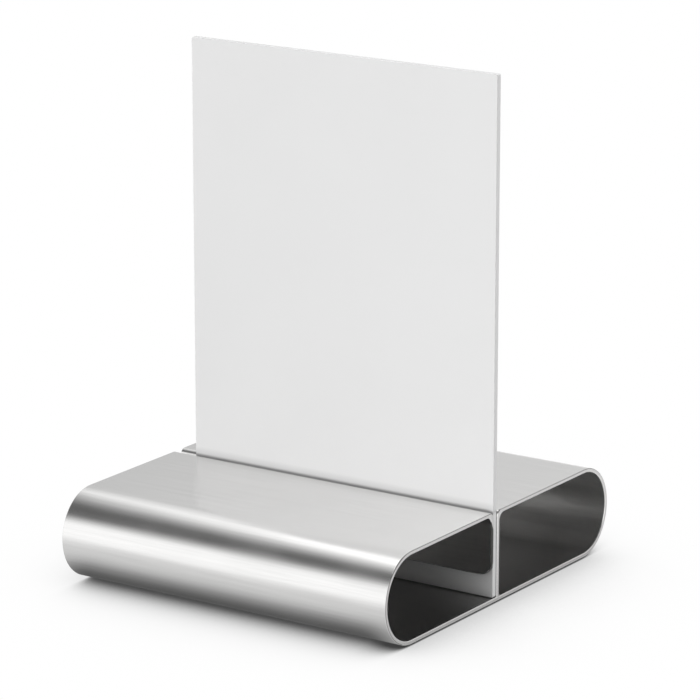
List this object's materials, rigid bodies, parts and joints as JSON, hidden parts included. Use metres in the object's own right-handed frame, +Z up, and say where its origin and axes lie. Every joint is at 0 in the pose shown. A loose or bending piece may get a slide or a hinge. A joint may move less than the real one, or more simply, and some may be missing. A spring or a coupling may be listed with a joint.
{
  "type": "menu holder",
  "caption": "Table menu holder: a bent steel sheet base with round-ended open chambers grips an upright blank panel in a slot across its top.",
  "frame": {"origin": "on the table under the middle of the base, at the underside of the pads", "axes": "+X along the slot, +Y from the front of the base to its back, +Z up"},
  "size_m": [0.113, 0.1218, 0.1557],
  "materials": {
    "brushed_steel": "satin, grain along the slot",
    "weld_metal": "brushed down after welding",
    "white_panel": "matt, blank",
    "pad_rubber": "matt"
  },
  "bodies": {
    "base": {"base_sheet": "brushed_steel", "web_weld": "weld_metal", "pad_front_left": "pad_rubber", "pad_front_right": "pad_rubber", "pad_rear_left": "pad_rubber", "pad_rear_right": "pad_rubber"},
    "panel": {"menu_panel": "white_panel"}
  },
  "joints": [
    {"name": "panel_lift", "type": "slide", "parent": "base", "child": "panel", "axis": [0, 0, 1], "range_m": [0, 0.03]}
  ]
}
